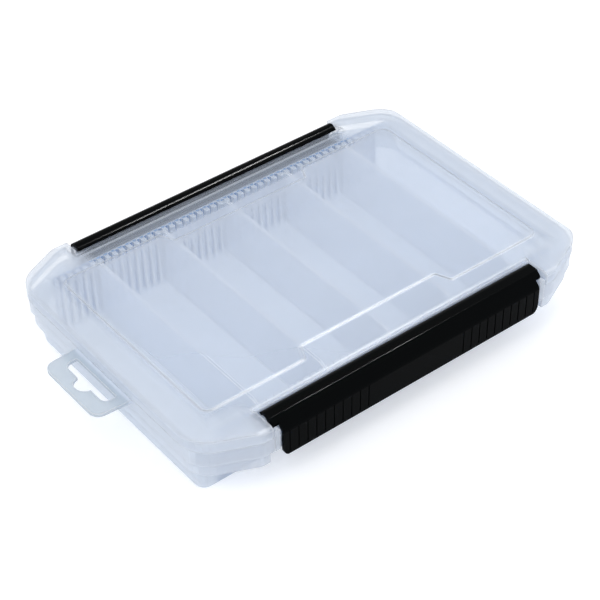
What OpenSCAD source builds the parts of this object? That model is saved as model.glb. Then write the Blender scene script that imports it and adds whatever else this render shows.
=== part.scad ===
// Translucent compartment box with a full-length snap latch, a double-pivot hinge bar
// and loose dividers. The origin is the middle of the tray's bottom, +Z is up, the
// latch is at -Y, the hinge at +Y and the hang tab at -X.

/* [Tray] */
// Length of the tray at its bottom
tray_l = 241; // [232:1:252]
// Depth of the tray at its bottom
tray_w = 144.6; // [138:0.2:152]
// How far each end wall leans out on its way up
end_lean = 5.5; // [4:0.1:6]
// How far the front and back walls lean out on their way up
side_lean = 1.9; // [1.4:0.1:2.4]
// Wall thickness of the tray
tray_wall = 1.6; // [1.4:0.1:1.8]
// Floor thickness of the tray
floor_t = 2; // [1.6:0.1:3]
// Height of the tray's ledge, where the lid meets it
parting_z = 31.5; // [31:0.1:31.6]
// Height of the tray's inner rim above the ledge
rim_h = 3.5; // [2:0.1:4]
// Height of the band under each cut corner
band_h = 9; // [8:0.1:10]
// Height of the skirt below that band
skirt_h = 8; // [6:0.1:9]

/* [Lid] */
// Height of the lid's top above the tray's ledge
lid_h = 8.5; // [8.2:0.1:9.5]
// Thickness of the lid
lid_wall = 1.4; // [1.2:0.1:1.5]
// How far the lid's lip stands out past the tray's end walls
lip_overhang = 1.5; // [1.4:0.1:2.4]
// Height of the raised panel on the lid
panel_h = 0.8; // [0.6:0.1:1]
// Distance from the lid's ends to the raised panel
panel_edge_x = 17.5; // [15:0.5:22]
// Distance from the tray's upper edge to the raised panel
panel_edge_y = 11.2; // [9:0.2:14]
// Half length of the panel's front and back notches
notch_hl = 46.5; // [35:0.5:60]
// Depth of the panel's front and back notches
notch_d = 9; // [6:0.5:12]
// Depth of each cut corner along the box's length
corner_x = 31.5; // [30:0.5:33]
// Depth of each cut corner along the box's width
corner_y = 14.2; // [13:0.2:16]
// Straight length of the lid between each cut corner and its bay
cheek_l = 6; // [5.4:0.1:8]

/* [Latch and hinge bar] */
// Gap between each end of the hinge bar and its bay
bar_gap = 1.7; // [1.5:0.1:3]
// Gap between each end of the latch's nose and its bay
nose_gap = 1.8; // [1.5:0.1:3]
// How far the latch's plate stops short of its nose at each end
plate_in = 3.6; // [3.2:0.1:5]
// Outer radius of the latch's nose and the hinge bar's top
nose_r = 4.4; // [4.4:0.05:4.5]
// Wall thickness of the latch and the hinge bar
bar_t = 1.7; // [1.5:0.1:1.8]
// Radius of the lid's two rails
rail_r = 2.5; // [2.3:0.05:2.5]
// Radius of the tray's rear rail
tray_rail_r = 2.2; // [2:0.05:2.3]
// Height from the tray's rear rail up to the lid's
rail_rise = 13.1; // [12.6:0.1:13.6]
// Running clearance of the rails in their bars
rail_fit = 0.06; // [0.04:0.01:0.08]
// How far the latch's plate stands out from its axis
plate_out = 10.7; // [10:0.1:11.5]
// How far the latch hangs below its axis
plate_drop = 19.2; // [18:0.1:21]
// Spacing of the grip grooves on the latch
grip_pitch = 5.5; // [4.5:0.1:6]
// Number of grip grooves in each of the two groups
grip_n = 10; // [5:1:11]

/* [Dividers] */
// Spacing of the slots for the dividers
slot_pitch = 4.66; // [4.5:0.02:4.7]
// Room that a divider has in its slot
slot_gap = 0.4; // [0.3:0.05:0.6]
// How many slots lie between one divider and the next
slots_apart = 9; // [8:1:9]
// Depth of the slots at the floor
slot_d = 1.8; // [1.4:0.1:2.6]
// Thickness of a divider
divider_t = 1.8; // [1.4:0.1:1.9]
// Gap between a divider's ends and the tray's walls
divider_fit = 0.3; // [0.2:0.05:0.5]

/* [Hang tab] */
// How far the tab stands out from the tray's upper edge
tab_out = 21.4; // [20.5:0.1:24]
// Width of the tab
tab_w = 48; // [46:0.5:60]
// Thickness of the tab
tab_t = 2; // [1.6:0.1:2.4]
// Length of the hang slot
slot_l = 35.6; // [32:0.2:36]
// Width of the hang slot
hang_w = 7.4; // [6.5:0.1:7.6]
// Radius of the round notch in the hang slot
peg_r = 6; // [5:0.1:6.4]

/* [Hidden] */

clear_pp = [0.78, 0.84, 0.93, 0.5];
clear_divider = [0.84, 0.89, 0.97, 0.55];
black_plastic = [0.025, 0.025, 0.03];

rail_fn = 64;         // facets asked of a round rail or bore
arc_steps = 6;        // steps of a rounded corner
eps = 0.05;           // overlap of joined solids
far = 400;            // larger than the box, for cutting

// Plan of the tray, measured outwards from the middle
foot_hl = tray_l / 2;
foot_hw = tray_w / 2;
foot_r = 5.5;
wall_x = foot_hl + end_lean;
wall_y = foot_hw + side_lean;
top_r = 12;
foot_edge = 1;
rim_step = 0.7;
rim_t = 0.9;
rib_y = foot_hw - tray_wall - slot_d;
slot_w = divider_t + slot_gap;
slots_each_way = floor((foot_hl - tray_wall - 9.5) / slot_pitch);
comb_hl = (slots_each_way + 0.5) * slot_pitch;

// The two rails of the lid: across and up
swing_gap = 0.3;
front_gap = 0.4;
front_bay_y = wall_y + front_gap + lid_wall;
front_y = front_bay_y + swing_gap + nose_r;
case_h = parting_z + lid_h;
axis_z = case_h - nose_r;
trough_d = nose_r + 0.4;
trough_z = axis_z - trough_d;
trough_low = trough_z - lid_wall;
web_t = 1.2;
trough_out = web_t / 2 + 0.3;
bay_swing = norm([nose_r + swing_gap + lid_wall, trough_d + lid_wall]);
rear_y = round(10 * (wall_y + bay_swing + 1.3)) / 10;
rear_bay_y = rear_y - nose_r - swing_gap;

// Plan of the lid
lid_hl = wall_x + lip_overhang;
cheek_out = 6.6;
cheek_hw = rear_y + cheek_out;
bay_hl = lid_hl - corner_x - cheek_l;
side_r = 18;
cheek_r = 10;
cut_slope = atan(corner_y / corner_x);

// Heights
plateau_z = case_h - panel_h;
lip_z = parting_z + 0.4;
rim_z = parting_z + rim_h;
flange_t = 1.6;
flange_z = trough_low - 0.4;
flange_low = flange_z - flange_t;
ledge_t = 1.5;
cheek_swing = norm([cheek_out, axis_z - lip_z]);
rear_ledge_z = axis_z - cheek_swing - 0.5;

// The front flange and its bead, the ears and the corners
bead_out = front_y + plate_out - bar_t - 0.7;
bead_t = 1.5;
bead_low = flange_z - 7.5;
ear_out = cheek_hw - 0.3;
ear_in = front_y + nose_r + 3.3;
nose_l = (bay_hl - nose_gap) * 2;
plate_l = nose_l - plate_in * 2;
ear_from = plate_l / 2 + 1.3;
ear_to = bay_hl - 0.9;
ear_hl = (ear_from + ear_to) / 2;
ear_w = ear_to - ear_from;
ear_top = axis_z + 0.9;
corner_in = bay_hl + lid_wall + 0.4;
end_wall_x = bay_hl + 0.6;
band_in = 0.6;
band_low = parting_z - band_h;
skirt_low = band_low - skirt_h;
skirt_in = 2.4;
shelf_y = foot_hw - 14;

// The tray's rear rail and the hinge bar
bar_l = (bay_hl - bar_gap) * 2;
lower_y = rear_y + 1.8;
lower_z = axis_z - rail_rise;
lower_r = tray_rail_r + rail_fit + 1.6;
hanger_t = 1.2;
hanger_y = lower_y - 0.4;
rear_flange_y = hanger_y + hanger_t / 2;
plate_y = rear_y + nose_r;

// The dividers
divider_z = plateau_z - lid_wall - 1;
divider_hw = foot_hw - tray_wall;
divider_top_hw = wall_y - tray_wall;
divider_cut = 6.4;

function unit(v) = v / norm(v);
function turned(a) = a > 180 ? a - 360 : a < -180 ? a + 360 : a;

// The arc that rounds the corner b between a and c
function corner_arc(a, b, c, r, n) =
    let (to_a = unit(a - b), to_c = unit(c - b),
         half = acos(to_a * to_c) / 2,
         mid = b + unit(to_a + to_c) * r / sin(half),
         first = b + to_a * r / tan(half) - mid,
         last = b + to_c * r / tan(half) - mid,
         start = atan2(first.y, first.x),
         sweep = turned(atan2(last.y, last.x) - start))
    [for (i = [0:n]) mid + r * [cos(start + sweep * i / n), sin(start + sweep * i / n)]];

// An outline of [x, y, radius] corners with its corners rounded
function rounded(corners, n = arc_steps) =
    let (m = len(corners), at = [for (c = corners) [c.x, c.y]])
    [for (i = [0:m - 1])
        each corners[i].z <= 0 ? [at[i]]
            : corner_arc(at[(i + m - 1) % m], at[i], at[(i + 1) % m], corners[i].z, n)];

function flip_x(list) = [for (i = [len(list) - 1:-1:0]) [-list[i].x, list[i].y, list[i].z]];
function flip_y(list) = [for (i = [len(list) - 1:-1:0]) [list[i].x, -list[i].y, list[i].z]];
function four(front, rear) = concat(rear, flip_x(rear), flip_y(concat(front, flip_x(front))));

function box_outline(hl, hw, r) = rounded(four([[hl, hw, r]], [[hl, hw, r]]));

// The lid's cut corner, pulled in by o
function cut_corner(o) =
    [[lid_hl - o, cheek_hw - corner_y - o * (1 - sin(cut_slope)) / cos(cut_slope), side_r - o],
     [lid_hl - corner_x - o * tan(cut_slope / 2), cheek_hw - o, cheek_r - o]];

// A quarter of the lid, pulled in by o outside, b at the bay's wall and e at its end
function lid_quarter(bay_y, o, b, e) =
    concat(cut_corner(o), [[bay_hl + e, cheek_hw - o, 0], [bay_hl + e, bay_y - b, 0]]);

function lid_outline(o, b, e) =
    rounded(four(lid_quarter(front_bay_y, o, b, e), lid_quarter(rear_bay_y, o, b, e)));

function cut_outline(o) = rounded(four(cut_corner(o), cut_corner(o)));

// The raised panel's outline, pulled in by o
function panel_quarter(o) =
    let (hl = lid_hl - panel_edge_x - o, hw = wall_y - panel_edge_y - o,
         jog = 2 + o * 0.6)
    [[hl, hw, 5 - o], [notch_hl + jog, hw, 1.5], [notch_hl - 2 + o * 0.6, hw - notch_d, 1.5]];

function panel_outline(o) = rounded(four(panel_quarter(o), panel_quarter(o)), 4);

// Solid through a stack of outlines with the same number of points
module loft(rings, heights) {
    m = len(rings[0]);
    points = [for (k = [0:len(rings) - 1]) for (p = rings[k]) [p.x, p.y, heights[k]]];
    sides = [for (k = [0:len(rings) - 2]) for (i = [0:m - 1])
        let (a = k * m + i, b = k * m + (i + 1) % m)
        each [[a, a + m, b + m], [a, b + m, b]]];
    last = (len(rings) - 1) * m;
    faces = concat([[for (i = [0:m - 1]) i]], sides, [[for (i = [m - 1:-1:0]) last + i]]);
    polyhedron(points = points, faces = faces);
}

// A profile drawn in Y and Z, drawn out along X about the middle
module along_x(length) {
    rotate([90, 0, 90]) linear_extrude(length, center = true) children();
}

module rod(length, r) {
    rotate([0, 90, 0]) cylinder(r = r, h = length, center = true, $fn = rail_fn);
}

module to_front() {
    mirror([0, 1, 0]) children();
}

module both_ends() {
    children();
    mirror([1, 0, 0]) children();
}

module box_at(x, y, z) {
    translate([x[0], y[0], z[0]]) cube([x[1] - x[0], y[1] - y[0], z[1] - z[0]]);
}

// A round channel on its axis that leaves a mouth open from one angle to the next
module channel(length, outer, bore, mouth_from, mouth_to) {
    reach = outer * 3;
    middle = (mouth_from + mouth_to) / 2;
    difference() {
        rod(length, outer);
        rod(length + 2, bore);
        along_x(length + 2) polygon([[0, 0],
            [reach * cos(mouth_from), reach * sin(mouth_from)],
            [reach * cos(middle), reach * sin(middle)],
            [reach * cos(mouth_to), reach * sin(mouth_to)]]);
    }
}

// Tray

module tray_body() {
    loft([box_outline(foot_hl - foot_edge, foot_hw - foot_edge, foot_r - foot_edge),
          box_outline(foot_hl, foot_hw, foot_r),
          box_outline(wall_x, wall_y, top_r)],
         [0, foot_edge, parting_z]);
    translate([0, 0, parting_z - eps]) linear_extrude(rim_h + eps)
        polygon(box_outline(wall_x - rim_step, wall_y - rim_step, top_r - rim_step));
}

// Everything behind the slots' front faces, with the slots cut into it
module comb() {
    slots = [for (i = [-slots_each_way:slots_each_way])
        let (x = i * slot_pitch)
        each [[x - slot_w / 2, rib_y], [x - slot_w / 2, wall_y + 2],
              [x + slot_w / 2, wall_y + 2], [x + slot_w / 2, rib_y]]];
    linear_extrude(rim_z + 2)
        polygon(concat([[-comb_hl, wall_y + 5], [-comb_hl, rib_y]], slots,
                       [[comb_hl, rib_y], [comb_hl, wall_y + 5]]));
}

module tray_room() {
    inner_r = top_r - tray_wall;
    difference() {
        loft([box_outline(foot_hl - tray_wall, foot_hw - tray_wall, foot_r - tray_wall),
              box_outline(wall_x - tray_wall, wall_y - tray_wall, inner_r),
              box_outline(wall_x - tray_wall, wall_y - tray_wall, inner_r)],
             [floor_t, parting_z, rim_z + 1]);
        comb();
        to_front() comb();
    }
}

// The flange that the latch closes over, with its turned-down bead
module front_flange() {
    along_x(end_wall_x * 2) polygon(rounded([
        [-wall_y + 1, flange_z, 0], [-wall_y + 1, flange_low, 0],
        [-bead_out + bead_t, flange_low, 0.6], [-bead_out + bead_t, bead_low, 0.6],
        [-bead_out, bead_low, 0.6], [-bead_out, flange_z, 0.5]]));
}

module rear_flange() {
    along_x(bay_hl * 2 - 1.2) polygon([
        [wall_y - 1, flange_z], [wall_y - 1, flange_low],
        [hanger_y - hanger_t / 2, flange_low], [hanger_y - hanger_t / 2, lower_z],
        [rear_flange_y, lower_z], [rear_flange_y, flange_z]]);
    translate([0, lower_y, lower_z]) rod(end_wall_x * 2 + 1, tray_rail_r);
}

// A strip that follows the cut corner, from its outside in
module corner_strip(inset, thick, low, high, end_x) {
    translate([0, 0, low]) linear_extrude(high - low) intersection() {
        difference() {
            polygon(cut_outline(inset));
            polygon(cut_outline(inset + thick));
        }
        translate([end_x, 0]) square([wall_x - end_x, cheek_hw + 1]);
    }
}

// The solid between the tray's wall and the cut corner, from one height to the next
module corner_shelf(low, high, from_x, from_y) {
    translate([0, 0, low]) linear_extrude(high - low) intersection() {
        polygon(cut_outline(band_in));
        translate([from_x, from_y]) square([wall_x - from_x - 0.2, cheek_hw]);
    }
}

module front_corner() {
    corner_shelf(parting_z - ledge_t, parting_z, corner_in, shelf_y);
    corner_strip(band_in, tray_wall, band_low, parting_z, ear_from);
    corner_strip(skirt_in, tray_wall, skirt_low, band_low + 2, end_wall_x);
    box_at([corner_in, corner_in + 1.5], [wall_y - 1, ear_out - band_in],
           [flange_low, parting_z]);
    box_at([ear_from, corner_in + 1], [wall_y - 1, ear_out - band_in], [flange_low, flange_z]);
    box_at([ear_from, corner_in + 1], [ear_in, ear_out - band_in], [band_low, parting_z]);
    box_at([end_wall_x, end_wall_x + tray_wall], [foot_hw, cheek_hw - skirt_in - 1],
           [skirt_low, flange_low + 0.5]);
    translate([ear_hl, ear_out, 0]) rotate([90, 0, 0]) {
        translate([0, ear_top - ear_w / 2, 0])
            cylinder(d = ear_w, h = ear_out - ear_in, $fn = 32);
        translate([-ear_w / 2, band_low, 0])
            cube([ear_w, ear_top - ear_w / 2 - band_low, ear_out - ear_in]);
    }
}

module rear_corner() {
    shelf_from = bar_l / 2 + 0.5;
    step_y = rear_y - cheek_swing - 0.2;
    difference() {
        corner_shelf(parting_z - ledge_t, parting_z, corner_in, shelf_y);
        box_at([0, far], [step_y, far], [0, far]);
    }
    corner_shelf(rear_ledge_z - ledge_t, rear_ledge_z, shelf_from, step_y - 2);
    difference() {
        corner_shelf(rear_ledge_z - ledge_t, parting_z, corner_in, step_y - 1.5);
        box_at([0, far], [step_y, far], [rear_ledge_z, far]);
    }
    corner_strip(band_in, tray_wall, band_low, rear_ledge_z, end_wall_x);
    difference() {
        corner_strip(band_in, tray_wall, band_low, parting_z, end_wall_x);
        box_at([0, far], [step_y, far], [rear_ledge_z, far]);
    }
    corner_strip(skirt_in, tray_wall, skirt_low, band_low + 2, end_wall_x);
    box_at([end_wall_x, end_wall_x + tray_wall], [foot_hw, cheek_hw - skirt_in - 1],
           [skirt_low, rear_ledge_z - 0.5]);
}

module hang_tab() {
    tab_x = wall_x + tab_out;
    slot_in = wall_x + 5;
    root_x = wall_x - 3;
    tab_low = parting_z - 3.5;
    difference() {
        translate([0, 0, tab_low]) linear_extrude(tab_t)
            polygon(rounded([[-root_x, tab_w / 2 + 0.6, 0], [-tab_x, tab_w / 2 - 0.6, 6],
                             [-tab_x, -tab_w / 2 + 0.6, 6], [-root_x, -tab_w / 2 - 0.6, 0]]));
        translate([0, 0, tab_low - 1]) linear_extrude(tab_t + 2) {
            polygon(rounded([[-slot_in, slot_l / 2, 1.2], [-slot_in - hang_w, slot_l / 2, 4],
                             [-slot_in - hang_w, -slot_l / 2, 4], [-slot_in, -slot_l / 2, 1.2]]));
            translate([-slot_in - hang_w + 0.9, 0]) circle(r = peg_r, $fn = 48);
        }
    }
}

module tray() {
    color(clear_pp) {
        difference() {
            union() {
                tray_body();
                front_flange();
                rear_flange();
                both_ends() {
                    to_front() front_corner();
                    rear_corner();
                }
                hang_tab();
            }
            tray_room();
        }
    }
}

// Lid

// A long prism across the lid with rounded top edges, turned to one of its sides
module crown(angle, reach) {
    edge = 3.4;
    half = reach + 0.5;
    rotate([0, 0, angle]) rotate([90, 0, 0]) linear_extrude(far, center = true)
        polygon(rounded([[half, lip_z - 1, 0], [half, plateau_z, edge],
                         [-half, plateau_z, edge], [-half, lip_z - 1, 0]]));
}

module lid_plate() {
    side = 90 - cut_slope;
    cut_y = cheek_hw - corner_y;
    round_x = lid_hl - side_r;
    round_y = cut_y - side_r * tan(side / 2);
    intersection() {
        translate([0, 0, lip_z]) linear_extrude(plateau_z - lip_z + 1)
            polygon(lid_outline(0, 0, 0));
        crown(0, lid_hl);
        crown(90, cheek_hw);
        for (turn = [-1, 1]) {
            crown(turn * side, lid_hl * cos(side) + cut_y * sin(side));
            crown(turn * side / 2,
                  round_x * cos(side / 2) + round_y * sin(side / 2) + side_r);
        }
    }
}

// What is cut away to slope the lid down into a bay
module bay_slope(bay_y) {
    along_x(bay_hl * 2 + 2) polygon([
        [bay_y - 3.2, plateau_z], [bay_y - 1.6, plateau_z - 0.4], [bay_y - 0.5, plateau_z - 1.1],
        [bay_y + 0.5, plateau_z - 2.2], [bay_y + 0.5, plateau_z + 2], [bay_y - 3.2, plateau_z + 2]]);
}

module lid_shell() {
    difference() {
        union() {
            lid_plate();
            translate([0, 0, plateau_z - eps]) linear_extrude(panel_h + eps)
                polygon(panel_outline(0));
        }
        bay_slope(rear_bay_y);
        to_front() bay_slope(front_bay_y);
        translate([0, 0, lip_z - 1]) linear_extrude(plateau_z - 2.8 - lip_z + 1)
            polygon(lid_outline(lid_wall, lid_wall, lid_wall));
        translate([0, 0, lip_z]) linear_extrude(plateau_z - lid_wall - lip_z)
            polygon(lid_outline(lid_wall + 1.2, lid_wall + 1.2, lid_wall + 1));
        translate([0, 0, lip_z]) linear_extrude(case_h - lid_wall - lip_z)
            polygon(panel_outline(lid_wall));
    }
}

// The bay that carries a rail: wall, trough, end plates, web and the rail itself
module rail_bay(bay_y, rail_y) {
    half = bay_hl + lid_wall;
    out = rail_y + trough_out;
    box_at([-half, half], [bay_y - lid_wall, bay_y], [trough_low, lip_z + 1]);
    box_at([-half, half], [bay_y - lid_wall, out], [trough_low, trough_z]);
    box_at([-half, half], [rail_y - web_t / 2, rail_y + web_t / 2], [trough_z - eps, axis_z]);
    both_ends() box_at([bay_hl, half], [bay_y - lid_wall, out], [trough_low, lip_z + 1]);
    translate([0, rail_y, axis_z]) rod(half * 2, rail_r);
}

module lid() {
    color(clear_pp) {
        lid_shell();
        rail_bay(rear_bay_y, rear_y);
        to_front() rail_bay(front_bay_y, front_y);
    }
}

// Latch and hinge bar

// The latch's shell from its nose over a shoulder and down its plate, across by up
function latch_shell() = rounded([
    [-0.3, nose_r, 0], [4.3, nose_r - 0.2, 0.6], [plate_out, -2.2, 3.5],
    [plate_out, -plate_drop, 0.8], [plate_out - bar_t, -plate_drop, 0.6],
    [plate_out - bar_t, -2.9, 1.8], [3.5, nose_r - 1.9, 0.6], [-0.3, nose_r - bar_t + 0.2, 0]]);

// The nose's two ends, which stop short of the ears
function latch_end() = rounded([
    [-0.3, nose_r, 0], [4.3, nose_r - 0.2, 0.6], [7, 1.5, 0.6], [7, -0.4, 0.5],
    [5.6, -0.4, 0.5], [3.3, nose_r - 2.1, 0.4], [-0.3, nose_r - bar_t + 0.2, 0]]);

// The latch is drawn about its axis, outwards along +Y, and turned to the front
module latch() {
    plate_x = plate_l / 2;
    catch_z = bead_low - axis_z - 0.6;
    catch_in = bead_out - front_y + 0.3;
    groove_top = -3.2;
    groove_low = -plate_drop + 2.2;
    plate_r = 5;
    color(black_plastic) translate([0, -front_y, axis_z]) to_front() {
        channel(nose_l, nose_r, rail_r + rail_fit, 148, 295);
        along_x(nose_l) polygon(latch_end());
        difference() {
            intersection() {
                union() {
                    along_x(plate_l) polygon(latch_shell());
                    along_x(plate_l - 12) polygon([
                        [plate_out - bar_t + 0.2, catch_z], [catch_in, catch_z - 0.4],
                        [catch_in, catch_z - 1], [plate_out - bar_t + 0.2, catch_z - 2]]);
                }
                rotate([90, 0, 0]) linear_extrude(far, center = true) polygon(rounded([
                    [plate_x, nose_r + 1, 0], [-plate_x, nose_r + 1, 0],
                    [-plate_x, -plate_drop, plate_r], [plate_x, -plate_drop, plate_r]]));
            }
            both_ends() for (i = [0:grip_n - 1])
                box_at([plate_x - 4 - i * grip_pitch, plate_x - 3.2 - i * grip_pitch],
                       [plate_out - 0.35, plate_out + 1], [groove_low, groove_top]);
        }
    }
}

module hinge_bar() {
    color(black_plastic) {
        translate([0, rear_y, axis_z]) channel(bar_l, nose_r, rail_r + rail_fit, 150, 295);
        translate([0, lower_y, lower_z])
            channel(bar_l, lower_r, tray_rail_r + rail_fit, 58, 220);
        difference() {
            along_x(bar_l) polygon([[plate_y, axis_z], [plate_y - bar_t + 0.1, axis_z],
                                    [plate_y - bar_t, lower_z + 1], [plate_y, lower_z + 1]]);
            translate([0, lower_y, lower_z]) rod(bar_l + 2, tray_rail_r + rail_fit);
            translate([0, rear_y, axis_z]) rod(bar_l + 2, rail_r + rail_fit);
        }
    }
}

// Dividers

module divider(place) {
    color(clear_divider) translate([place * slots_apart * slot_pitch, 0, 0])
        along_x(divider_t) polygon([
            [-divider_hw + divider_fit, floor_t], [divider_hw - divider_fit, floor_t],
            [divider_top_hw - divider_fit, parting_z],
            [divider_top_hw - divider_fit, divider_z - 3],
            [divider_top_hw - divider_cut, divider_z],
            [-divider_top_hw + divider_cut, divider_z],
            [-divider_top_hw + divider_fit, divider_z - 3],
            [-divider_top_hw + divider_fit, parting_z]]);
}

module divider_1() { divider(-2); }
module divider_2() { divider(-1); }
module divider_3() { divider(0); }
module divider_4() { divider(1); }
module divider_5() { divider(2); }

tray();
lid();
latch();
hinge_bar();
divider_1();
divider_2();
divider_3();
divider_4();
divider_5();
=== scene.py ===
import math

import bpy
import numpy as np
from mathutils import Matrix, Vector

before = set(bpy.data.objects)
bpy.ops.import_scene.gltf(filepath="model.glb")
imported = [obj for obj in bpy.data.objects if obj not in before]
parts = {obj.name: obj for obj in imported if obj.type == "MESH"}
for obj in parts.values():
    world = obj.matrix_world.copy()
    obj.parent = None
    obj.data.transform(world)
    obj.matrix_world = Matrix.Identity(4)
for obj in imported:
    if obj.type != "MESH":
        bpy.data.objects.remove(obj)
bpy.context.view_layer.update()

print("frame loaded:", len(parts), "nodes")


# Small helpers

def linearColour(hexText):
    # sRGB hex to linear light: the low end is divided, the rest is raised to 2.4
    srgb = np.array([int(hexText[i:i + 2], 16) for i in (1, 3, 5)]) / 255
    linear = np.where(srgb <= 0.04045, srgb / 12.92, ((srgb + 0.055) / 1.055) ** 2.4)
    return (*linear.tolist(), 1.0)


def addNode(tree, kind, settings=None, **feeds):
    # One node, its settings by attribute or socket name, and what feeds its inputs: i2 is the
    # input numbered 2, Base_Color the one named so. A socket is linked, and a value is set.
    node = tree.nodes.new(kind)
    for key, value in (settings or {}).items():
        if hasattr(node, key):
            setattr(node, key, value)
        else:
            node.inputs[key].default_value = value
    for key, source in feeds.items():
        numbered = key[0] == "i" and key[1:].isdigit()
        socket = node.inputs[int(key[1:]) if numbered else key.replace("_", " ")]
        if isinstance(source, bpy.types.NodeSocket):
            tree.links.new(source, socket)
        else:
            socket.default_value = source
    return node


def newMaterial(name):
    made = bpy.data.materials.new(name)
    made.use_nodes = True
    made.node_tree.nodes.clear()
    return made, made.node_tree


# Materials

# Polypropylene, natural and injection moulded: a milky, faintly blue clear plastic. It is
# seen through, so each wall only veils what lies behind it. A wall seen edge-on and every
# moulded edge look denser, and each moulded edge is given a lighter colour as a painted
# highlight.
plastic = dict(ior=1.49,
               passes="#fcfdfe",                 # white light after a wall
               rimFrom=0.2,                      # how edge-on a wall is where it grows denser
               edgeFrom=0.99, edgeFull=0.85,     # cosine of the turn at a moulded edge
               edgeThrough=0.05,                 # through, at a moulded edge
               shadow=0.10,                      # the part of its veil that a wall shades with
               grainDeep=0.0002, roundSamples=4)
# tint and dense are the two ends of its clouding. veil and rim are how much one face hides when
# seen flat and edge-on, and through is the share of its light that comes from behind it. The
# mould's own grain is about 0.1 mm, and is drawn as coarse as it needs to show.
# The edge colour is a painted highlight that moulded edges take on, lighter than the wall.
clearLid = dict(tint="#eaf0fa", dense="#e1e9f6", cloudMm=60, veil=0.21, rim=0.62, through=0.25,
                edge="#f1f5fc", edgeVeil=0.62, edgeMm=1.9, rough=0.28, grainMm=0.8, grain=0.008)
clearTray = dict(tint="#e9eff8", dense="#dfe7f2", cloudMm=55, veil=0.48, rim=0.80, through=0.12,
                 edge="#f4f7fc", edgeVeil=0.75, edgeMm=0.9, rough=0.34, grainMm=0.9, grain=0.01)
clearDivider = dict(tint="#edf2fb", dense="#e3ebf6", cloudMm=40, veil=0.36, rim=0.70,
                    through=0.30, edge="#ffffff", edgeVeil=0.95, edgeMm=1.3, rough=0.34,
                    grainMm=1.0, grain=0.01)

# A zone of a piece lies inside all its limits. Each limit is a distance, where the zone begins
# and where it is full, in mm: x and y from the box's middle, along and across the same without
# their sign, and foot as across with the walls' lean taken off. There tint takes the place of
# the plastic's own, veil of its veil, and least is the least that the zone hides.
wallLean = 0.0603                                # mm out per mm up
# The slots for the dividers, tinted dark blue and made denser: painted shade in their recesses
slotShade = dict(tint="#5c8cc0", least=0.92,
                 limits=(("foot", 69.0, 70.2), ("foot", 71.1, 70.85), ("along", 110.5, 109.5)))
# The hang tab, thicker than the walls
hangTab = dict(tint="#bac6d2", limits=(("x", -127.5, -129.0),))
# The rim and the corner skirts outside the walls, tinted darker than the walls as painted shade
skirtShade = dict(tint="#dce3ee", limits=(("foot", 72.0, 73.0),))
# The lid's strip between the panel and the hinge, polished clear
clearStrip = dict(veil=0.11, limits=(("along", 90, 84), ("y", 60.5, 63.0)))
# The lid's ends and its corners beside the bays: less polished than its panel, so denser, and
# tinted darker as painted shade
mattShadedEnds = dict(tint="#e0e6ef", least=0.44, limits=(("along", 104, 115),))
mattShadedCorners = dict(tint="#e0e6ef", least=0.44, limits=(("along", 80, 97), ("across", 52, 72)))


def distances(tree, point):
    # the distances that the zones' limits name, from the point's place on the box
    axes = addNode(tree, "ShaderNodeSeparateXYZ", Vector=point)
    away = dict(x=axes.outputs["X"], y=axes.outputs["Y"])
    for unsigned, signed in (("along", "x"), ("across", "y")):
        away[unsigned] = addNode(tree, "ShaderNodeMath", {"operation": "ABSOLUTE"},
                                 i0=away[signed]).outputs[0]
    leant = addNode(tree, "ShaderNodeMath", {"operation": "MULTIPLY"}, i0=axes.outputs["Z"],
                    i1=wallLean)
    away["foot"] = addNode(tree, "ShaderNodeMath", {"operation": "SUBTRACT"},
                           i0=away["across"], i1=leant.outputs[0]).outputs[0]
    return away


def insideZone(tree, away, limits):
    # 1 inside all the limits and 0 outside any: the product of one ramp for each
    inside = 1.0
    for which, begins, full in limits:
        ramp = addNode(tree, "ShaderNodeMapRange",
                       {"From Min": begins / 1000, "From Max": full / 1000}, Value=away[which])
        inside = addNode(tree, "ShaderNodeMath", {"operation": "MULTIPLY"}, i0=inside,
                         i1=ramp.outputs["Result"]).outputs[0]
    return inside


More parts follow.
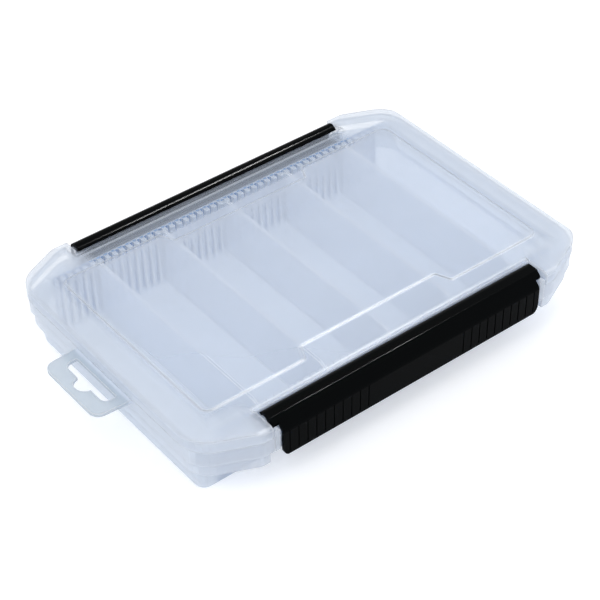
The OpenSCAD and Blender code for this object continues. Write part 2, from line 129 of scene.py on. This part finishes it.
def polypropylene(name, look, *zones):
    made, tree = newMaterial(name)
    point = addNode(tree, "ShaderNodeTexCoord").outputs["Object"]
    away = distances(tree, point)
    cloud = addNode(tree, "ShaderNodeTexNoise",
                    {"Scale": 1000 / look["cloudMm"], "Detail": 3.0, "Roughness": 0.5},
                    Vector=point)
    grain = addNode(tree, "ShaderNodeTexNoise",
                    {"Scale": 1000 / look["grainMm"], "Detail": 2.0, "Roughness": 0.6},
                    Vector=point)
    tone = addNode(tree, "ShaderNodeMix", {"data_type": "RGBA"}, i0=cloud.outputs["Fac"],
                   i6=linearColour(look["tint"]), i7=linearColour(look["dense"]))
    # How much the wall hides, more where it is seen edge-on, and then what each zone changes
    facing = addNode(tree, "ShaderNodeLayerWeight", {"Blend": 0.5})
    wall = addNode(tree, "ShaderNodeMapRange",
                   {"From Min": plastic["rimFrom"], "To Min": look["veil"],
                    "To Max": look["rim"]}, Value=facing.outputs["Facing"]).outputs["Result"]
    # Zone tints take the place of the tone: at the slots, the skirts and the lid's ends and
    # corners they are painted shade
    for zone in zones:
        mask = insideZone(tree, away, zone["limits"])
        if "tint" in zone:
            tone = addNode(tree, "ShaderNodeMix", {"data_type": "RGBA"}, i0=mask,
                           i6=tone.outputs[2], i7=linearColour(zone["tint"]))
        if "veil" in zone:
            wall = addNode(tree, "ShaderNodeMix", {"data_type": "FLOAT"}, i0=mask, i2=wall,
                           i3=zone["veil"]).outputs[0]
        if "least" in zone:
            least = addNode(tree, "ShaderNodeMath", {"operation": "MULTIPLY"}, i0=mask,
                            i1=zone["least"])
            wall = addNode(tree, "ShaderNodeMath", {"operation": "MAXIMUM"}, i0=wall,
                           i1=least.outputs[0]).outputs[0]
    # How far the surface turns within edgeMm: nothing on a flat wall, full at a moulded edge
    rounded = addNode(tree, "ShaderNodeBevel",
                      {"samples": plastic["roundSamples"], "Radius": look["edgeMm"] / 1000})
    shape = addNode(tree, "ShaderNodeNewGeometry")
    turn = addNode(tree, "ShaderNodeVectorMath", {"operation": "DOT_PRODUCT"},
                   i0=rounded.outputs[0], i1=shape.outputs["Normal"])
    edge = addNode(tree, "ShaderNodeMapRange",
                   {"From Min": plastic["edgeFrom"], "From Max": plastic["edgeFull"]},
                   Value=turn.outputs["Value"]).outputs["Result"]
    # Painted highlight: moulded edges are coloured with the lighter edge colour
    colour = addNode(tree, "ShaderNodeMix", {"data_type": "RGBA"}, i0=edge, i6=tone.outputs[2],
                     i7=linearColour(look["edge"])).outputs[2]
    bump = addNode(tree, "ShaderNodeBump",
                   {"Strength": look["grain"], "Distance": plastic["grainDeep"]},
                   Height=grain.outputs["Fac"], Normal=rounded.outputs[0])
    skin = addNode(tree, "ShaderNodeBsdfPrincipled",
                   {"Roughness": look["rough"], "IOR": plastic["ior"]}, Base_Color=colour,
                   Normal=bump.outputs["Normal"])
    glow = addNode(tree, "ShaderNodeBsdfTranslucent", Color=colour,
                   Normal=bump.outputs["Normal"])
    share = addNode(tree, "ShaderNodeMapRange",
                    {"To Min": look["through"], "To Max": plastic["edgeThrough"]}, Value=edge)
    body = addNode(tree, "ShaderNodeMixShader", i0=share.outputs["Result"], i1=skin.outputs[0],
                   i2=glow.outputs[0])
    clear = addNode(tree, "ShaderNodeBsdfTransparent",
                    {"Color": linearColour(plastic["passes"])})
    veil = addNode(tree, "ShaderNodeMix", {"data_type": "FLOAT"}, i0=edge, i2=wall,
                   i3=look["edgeVeil"])
    # Light that passes a wall is scattered onwards, so a wall shades less than it veils
    path = addNode(tree, "ShaderNodeLightPath")
    shade = addNode(tree, "ShaderNodeMapRange", {"To Min": 1.0, "To Max": plastic["shadow"]},
                    Value=path.outputs["Is Shadow Ray"])
    amount = addNode(tree, "ShaderNodeMath", {"operation": "MULTIPLY"}, i0=veil.outputs[0],
                     i1=shade.outputs["Result"])
    mixed = addNode(tree, "ShaderNodeMixShader", i0=amount.outputs[0], i1=clear.outputs[0],
                    i2=body.outputs[0])
    addNode(tree, "ShaderNodeOutputMaterial", Surface=mixed.outputs[0])
    return made


# ABS, glossy black and injection moulded: a polished mould leaves it near mirror smooth, with
# long waves from shrinkage and fine rub marks, which are drawn coarser than life so that they
# show. Its gloss is kept low beside a white surround.
blackBar = dict(colour="#030405", worn="#07090a", ior=1.53, gloss=0.02, rough=0.08,
                roughWorn=0.16, waveMm=14, waveDeep=0.0005, wave=0.02, rubMm=0.7)


def polishedAbs(name, look):
    made, tree = newMaterial(name)
    point = addNode(tree, "ShaderNodeTexCoord").outputs["Object"]
    wave = addNode(tree, "ShaderNodeTexNoise", {"Scale": 1000 / look["waveMm"], "Detail": 1.0},
                   Vector=point)
    rub = addNode(tree, "ShaderNodeTexNoise",
                  {"Scale": 1000 / look["rubMm"], "Detail": 4.0, "Roughness": 0.7},
                  Vector=point)
    tone = addNode(tree, "ShaderNodeMix", {"data_type": "RGBA"}, i0=rub.outputs["Fac"],
                   i6=linearColour(look["colour"]), i7=linearColour(look["worn"]))
    rough = addNode(tree, "ShaderNodeMapRange",
                    {"To Min": look["rough"], "To Max": look["roughWorn"]},
                    Value=rub.outputs["Fac"])
    bump = addNode(tree, "ShaderNodeBump",
                   {"Strength": look["wave"], "Distance": look["waveDeep"]},
                   Height=wave.outputs["Fac"])
    skin = addNode(tree, "ShaderNodeBsdfPrincipled",
                   {"IOR": look["ior"], "Specular IOR Level": look["gloss"]},
                   Base_Color=tone.outputs[2], Roughness=rough.outputs["Result"],
                   Normal=bump.outputs["Normal"])
    addNode(tree, "ShaderNodeOutputMaterial", Surface=skin.outputs[0])
    return made


def dress(made, *nodeNames):
    for nodeName in nodeNames:
        mesh = parts[nodeName].data
        mesh.materials.clear()
        mesh.materials.append(made)


dress(polypropylene("natural moulded polypropylene tray", clearTray, slotShade, hangTab,
                    skirtShade), "tray")
dress(polypropylene("natural moulded polypropylene lid", clearLid, clearStrip, mattShadedEnds,
                    mattShadedCorners), "lid")
dress(polypropylene("natural moulded polypropylene divider", clearDivider),
      *(f"divider_{count}" for count in range(1, 6)))
dress(polishedAbs("polished black moulded ABS", blackBar), "latch", "hinge_bar")
print("materials on", len(parts), "nodes")


# Camera

# Angles in degrees and lengths in mm: where the camera stands, how it is rolled, how far the
# middle of the picture is from the box's middle, and the lens in the picture's pixels
shot = dict(azimuth=-38.09, elevation=40.60, roll=-0.59, across=-1.84, up=7.42,
            distance=964.06, focalPixels=1782.11, imagePixels=600, sensorMm=36)


def setCamera(view):
    azimuth, elevation, roll = (math.radians(view[k]) for k in ("azimuth", "elevation", "roll"))
    back = Vector((math.sin(azimuth) * math.cos(elevation),
                   -math.cos(azimuth) * math.cos(elevation), math.sin(elevation)))
    right = Vector((math.cos(azimuth), math.sin(azimuth), 0))
    up = back.cross(right)
    spot = (back * view["distance"] + right * view["across"] + up * view["up"]) / 1000
    rolledRight = right * math.cos(roll) + up * math.sin(roll)
    rolledUp = up * math.cos(roll) - right * math.sin(roll)
    lens = bpy.data.cameras.new("camera")
    lens.sensor_width = view["sensorMm"]
    lens.lens = view["focalPixels"] / view["imagePixels"] * view["sensorMm"]
    lens.clip_start, lens.clip_end = 0.01, 20
    camera = bpy.data.objects.new("camera", lens)
    turn = Matrix((rolledRight, rolledUp, back)).transposed().to_4x4()
    camera.matrix_world = Matrix.Translation(spot) @ turn
    bpy.context.scene.collection.objects.link(camera)
    bpy.context.scene.camera = camera


setCamera(shot)


# Floor, world and lights

# In metres. lift is what the camera alone sees added to the floor, which takes it to white.
studioFloor = dict(half=3.0, below=0.0002, colour="#f4f5f7", lift=0.22)
surround = dict(light=0.70, seen=1.0, colour=(1, 1, 1, 1))
# Soft lamps at a plain level, in metres and watts, which don't show in the gloss. Only the
# narrow one does, as a thin bright line along the black bars.
lamps = (dict(name="key", size=(0.9, 0.9), power=5, at=(-0.75, -0.25, 1.15), hides="glossy"),
         dict(name="fill", size=(1.2, 1.2), power=6, at=(0.9, -0.9, 0.9), hides="glossy"),
         dict(name="back", size=(1.0, 1.0), power=3, at=(0.25, 1.1, 0.9), hides="glossy"),
         dict(name="strip", size=(0.6, 0.03), power=42, at=(0.585, -0.206, 1.134),
              hides="diffuse"))


def setFloor(plan):
    h = plan["half"]
    mesh = bpy.data.meshes.new("floor")
    mesh.from_pydata([(-h, -h, 0), (h, -h, 0), (h, h, 0), (-h, h, 0)], [], [(0, 1, 2, 3)])
    floor = bpy.data.objects.new("floor", mesh)
    floor.location.z = -plan["below"]
    bpy.context.scene.collection.objects.link(floor)
    made, tree = newMaterial("studio floor")
    matt = addNode(tree, "ShaderNodeBsdfDiffuse", {"Color": linearColour(plan["colour"])})
    white = addNode(tree, "ShaderNodeEmission",
                    {"Color": surround["colour"], "Strength": plan["lift"]})
    both = addNode(tree, "ShaderNodeAddShader", i0=matt.outputs[0], i1=white.outputs[0])
    path = addNode(tree, "ShaderNodeLightPath")
    seen = addNode(tree, "ShaderNodeMixShader", i0=path.outputs["Is Camera Ray"],
                   i1=matt.outputs[0], i2=both.outputs[0])
    addNode(tree, "ShaderNodeOutputMaterial", Surface=seen.outputs[0])
    mesh.materials.append(made)


def setWorld(plan):
    world = bpy.data.worlds.new("studio")
    bpy.context.scene.world = world
    world.use_nodes = True
    tree = world.node_tree
    tree.nodes.clear()
    soft = addNode(tree, "ShaderNodeBackground",
                   {"Color": plan["colour"], "Strength": plan["light"]})
    white = addNode(tree, "ShaderNodeBackground",
                    {"Color": plan["colour"], "Strength": plan["seen"]})
    path = addNode(tree, "ShaderNodeLightPath")
    shown = path.outputs["Is Camera Ray"]
    for ray in ("Is Glossy Ray", "Is Transmission Ray"):
        shown = addNode(tree, "ShaderNodeMath", {"operation": "MAXIMUM"}, i0=shown,
                        i1=path.outputs[ray]).outputs[0]
    mix = addNode(tree, "ShaderNodeMixShader", i0=shown, i1=soft.outputs[0],
                  i2=white.outputs[0])
    addNode(tree, "ShaderNodeOutputWorld", Surface=mix.outputs[0])


def setLamp(plan):
    light = bpy.data.lights.new(plan["name"], "AREA")
    light.shape = "RECTANGLE"
    light.size, light.size_y = plan["size"]
    light.energy = plan["power"]
    lamp = bpy.data.objects.new(plan["name"], light)
    lamp.location = plan["at"]
    lamp.rotation_euler = (-Vector(plan["at"])).to_track_quat("-Z", "Y").to_euler()
    bpy.context.scene.collection.objects.link(lamp)
    setattr(lamp, "visible_" + plan["hides"], False)


setFloor(studioFloor)
setWorld(surround)
for lampPlan in lamps:
    setLamp(lampPlan)
bpy.context.scene.view_settings.view_transform = "Standard"
print("studio and camera set")
